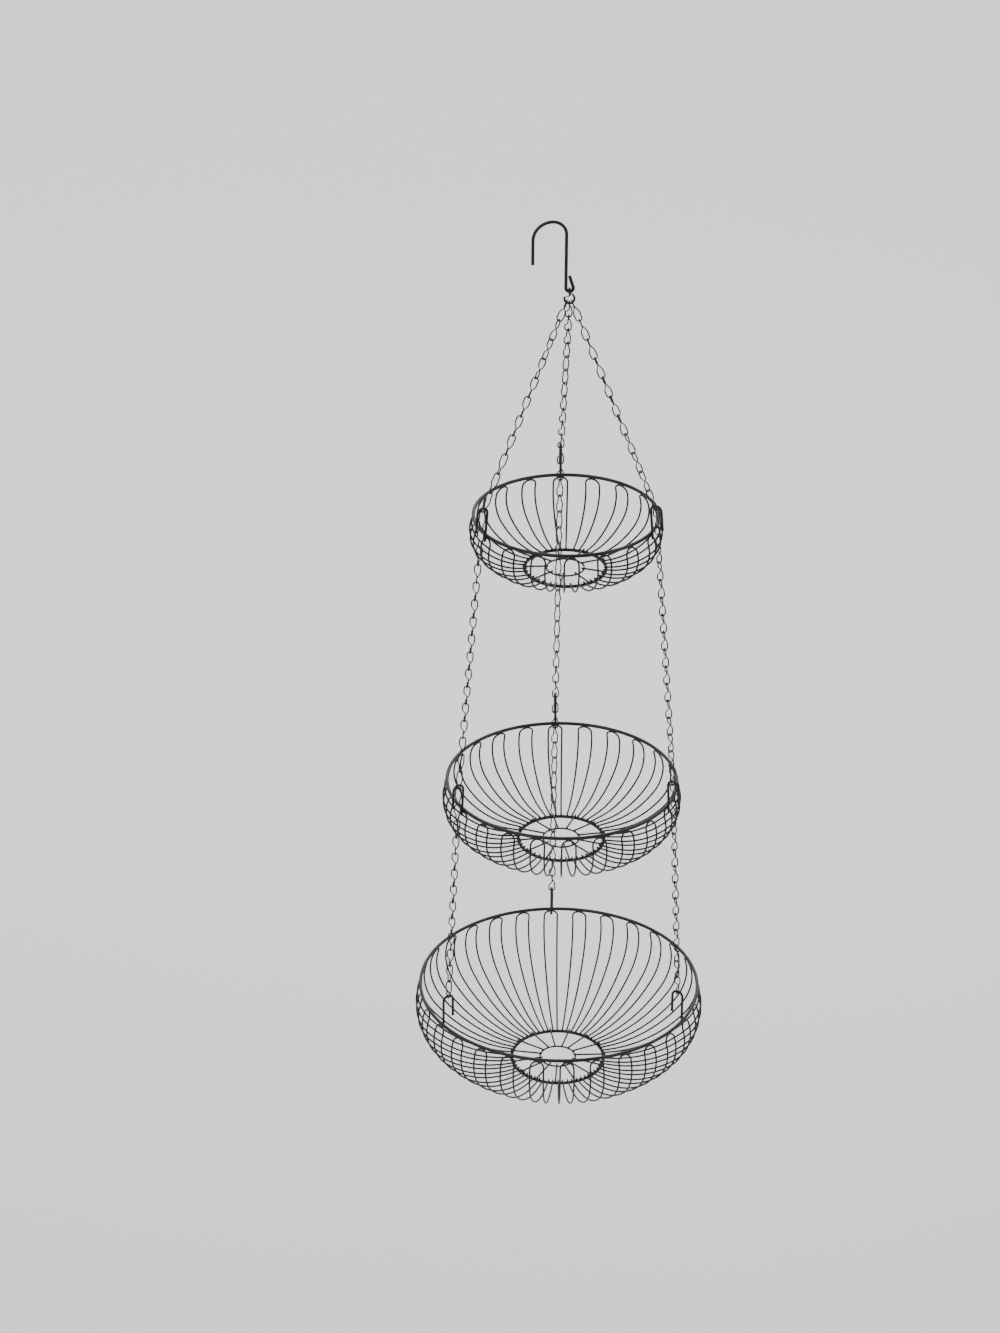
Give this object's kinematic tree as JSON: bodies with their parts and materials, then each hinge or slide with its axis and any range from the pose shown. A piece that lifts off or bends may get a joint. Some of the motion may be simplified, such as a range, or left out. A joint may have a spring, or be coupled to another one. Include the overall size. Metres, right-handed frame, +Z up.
{
  "type": "hanging fruit basket",
  "caption": "Hanging fruit basket: round wire bowls growing in size downwards, hung one under another on twisted-link chains that meet at a link under a ceiling hook.",
  "frame": {"origin": "inside of the ceiling hook's crown, where it rests on what holds it", "axes": "+Z up along the chains; +X to the right and -Y to the front in the picture; the hook's bend lies in the XZ plane and one chain is at the back, at +Y"},
  "size_m": [0.3214, 0.3214, 1.014],
  "materials": {
    "coated_wire": "near-black satin coating over welded steel wire",
    "chain_wire": "near-black coating, a little thinner and duller, over twisted steel chain links"
  },
  "bodies": {
    "hook": {"ceiling_hook": "coated_wire"},
    "gathering": {"gathering_link": "coated_wire"},
    "top_tier": {"upper_chain_back": "chain_wire", "upper_chain_left": "chain_wire", "upper_chain_right": "chain_wire", "middle_chain_back_start": "chain_wire", "middle_chain_left_start": "chain_wire", "middle_chain_right_start": "chain_wire", "top_rim": "coated_wire", "top_side_arches": "coated_wire", "top_base_ring": "coated_wire", "top_floor_spokes": "coated_wire", "top_centre_ring": "coated_wire", "top_hook_back": "coated_wire", "top_hook_left": "coated_wire", "top_hook_right": "coated_wire"},
    "middle_back": {"middle_chain_back": "chain_wire"},
    "middle_left": {"middle_chain_left": "chain_wire"},
    "middle_right": {"middle_chain_right": "chain_wire"},
    "middle_tier": {"lower_chain_back_start": "chain_wire", "lower_chain_left_start": "chain_wire", "lower_chain_right_start": "chain_wire", "middle_rim": "coated_wire", "middle_side_arches": "coated_wire", "middle_base_ring": "coated_wire", "middle_floor_spokes": "coated_wire", "middle_centre_ring": "coated_wire", "middle_hook_back": "coated_wire", "middle_hook_left": "coated_wire", "middle_hook_right": "coated_wire"},
    "lower_back": {"lower_chain_back": "chain_wire"},
    "lower_left": {"lower_chain_left": "chain_wire"},
    "lower_right": {"lower_chain_right": "chain_wire"},
    "bottom_tier": {"bottom_rim": "coated_wire", "bottom_side_arches": "coated_wire", "bottom_base_ring": "coated_wire", "bottom_floor_spokes": "coated_wire", "bottom_centre_ring": "coated_wire", "bottom_hook_back": "coated_wire", "bottom_hook_left": "coated_wire", "bottom_hook_right": "coated_wire"}
  },
  "joints": [
    {"name": "link_swing", "type": "hinge", "parent": "hook", "child": "gathering", "pos_m": [0.0174, 0, -0.07365], "axis": [1, 0, 0], "range_deg": [-30, 30]},
    {"name": "top_sway", "type": "hinge", "parent": "gathering", "child": "top_tier", "pos_m": [0.0174, 0, -0.0815], "axis": [0, 1, 0], "range_deg": [-20, 20]},
    {"name": "middle_back_sway", "type": "hinge", "parent": "top_tier", "child": "middle_back", "pos_m": [0.0174, 0.11062, -0.37458], "axis": [0, 1, 0], "range_deg": [-8, 8]},
    {"name": "middle_left_sway", "type": "hinge", "parent": "top_tier", "child": "middle_left", "pos_m": [-0.0784, -0.05531, -0.37458], "axis": [0, 1, 0], "range_deg": [-8, 8]},
    {"name": "middle_right_sway", "type": "hinge", "parent": "top_tier", "child": "middle_right", "pos_m": [0.1132, -0.05531, -0.37458], "axis": [0, 1, 0], "range_deg": [-8, 8]},
    {"name": "middle_tier_level", "type": "hinge", "parent": "middle_back", "child": "middle_tier", "pos_m": [0.0174, 0.13265, -0.61477], "axis": [0, 1, 0], "range_deg": [-7, 7]},
    {"name": "lower_back_sway", "type": "hinge", "parent": "middle_tier", "child": "lower_back", "pos_m": [0.0174, 0.13765, -0.71515], "axis": [0, 1, 0], "range_deg": [-8, 8]},
    {"name": "lower_left_sway", "type": "hinge", "parent": "middle_tier", "child": "lower_left", "pos_m": [-0.10181, -0.06883, -0.71515], "axis": [0, 1, 0], "range_deg": [-8, 8]},
    {"name": "lower_right_sway", "type": "hinge", "parent": "middle_tier", "child": "lower_right", "pos_m": [0.13661, -0.06883, -0.71515], "axis": [0, 1, 0], "range_deg": [-8, 8]},
    {"name": "bottom_tier_level", "type": "hinge", "parent": "lower_back", "child": "bottom_tier", "pos_m": [0.0174, 0.1459, -0.87754], "axis": [0, 1, 0], "range_deg": [-7.8, 7.8]}
  ],
  "couplings": [
    {"joint": "middle_left_sway", "follows": "middle_back_sway", "ratio": 1},
    {"joint": "middle_right_sway", "follows": "middle_back_sway", "ratio": 1},
    {"joint": "middle_tier_level", "follows": "middle_back_sway", "ratio": -0.8339},
    {"joint": "lower_left_sway", "follows": "lower_back_sway", "ratio": 1},
    {"joint": "lower_right_sway", "follows": "lower_back_sway", "ratio": 1},
    {"joint": "bottom_tier_level", "follows": "lower_back_sway", "ratio": -0.9435}
  ]
}
